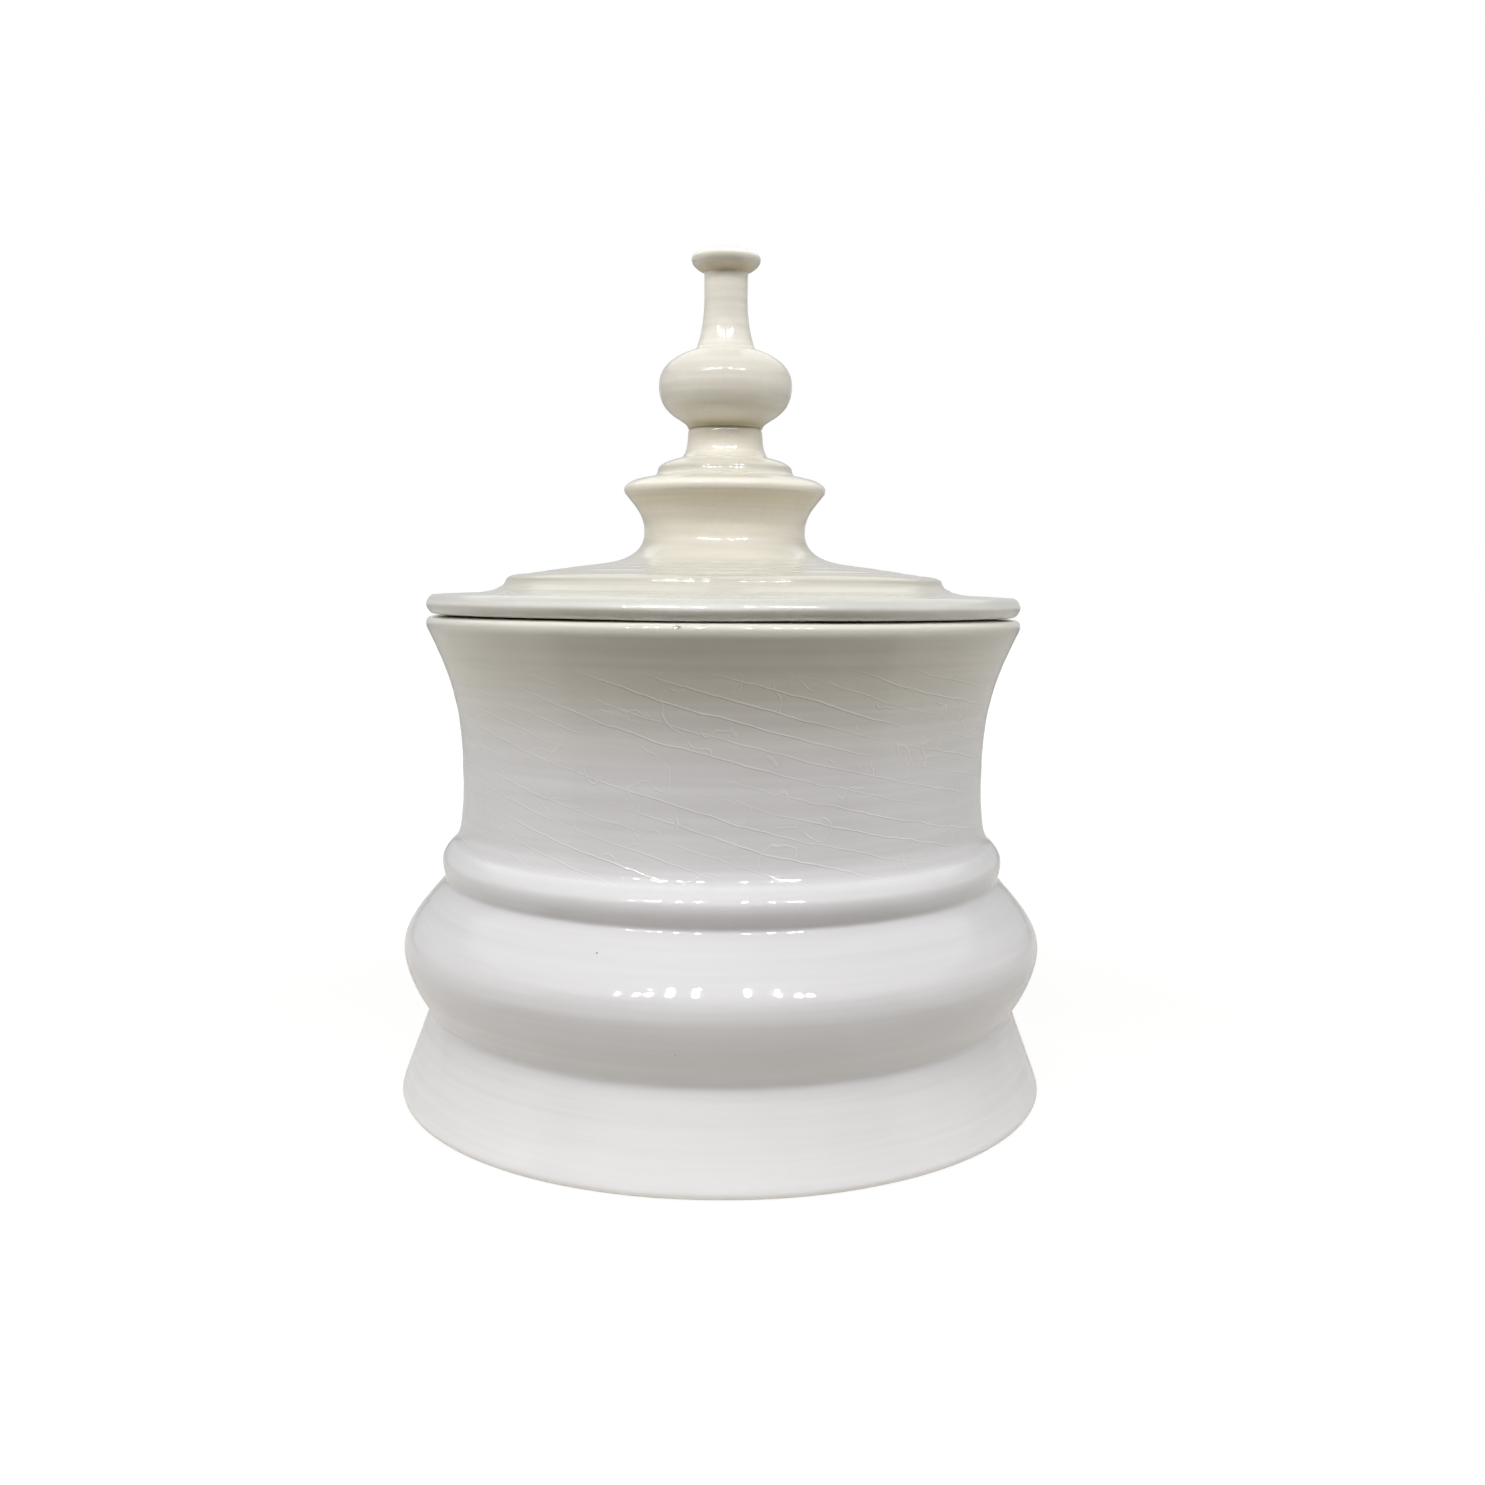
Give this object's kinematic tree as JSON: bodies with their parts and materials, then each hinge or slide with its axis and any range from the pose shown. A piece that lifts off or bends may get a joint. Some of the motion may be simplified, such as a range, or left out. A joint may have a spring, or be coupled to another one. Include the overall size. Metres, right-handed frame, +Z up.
{
  "type": "apothecary jar",
  "caption": "Round lidded ceramic apothecary jar with a flared foot, swelling belly, waisted wall and a stepped lid with a turned knop finial.",
  "frame": {"origin": "centre of the foot, on the surface that the jar stands on", "axes": "+Z up along the turning axis, towards the finial; the jar is the same all the way round"},
  "size_m": [0.254, 0.254, 0.328],
  "materials": {
    "jar_body": "glossy crackled white glaze",
    "lid": "glossy crackled ivory glaze",
    "finial": "glossy crackled ivory glaze"
  },
  "bodies": {
    "jar": {"jar_body": "jar_body"},
    "lid": {"lid": "lid", "finial": "finial"}
  },
  "joints": [
    {"name": "lid_lift", "type": "slide", "parent": "jar", "child": "lid", "axis": [0, 0, 1], "range_m": [0, 0.25]}
  ]
}
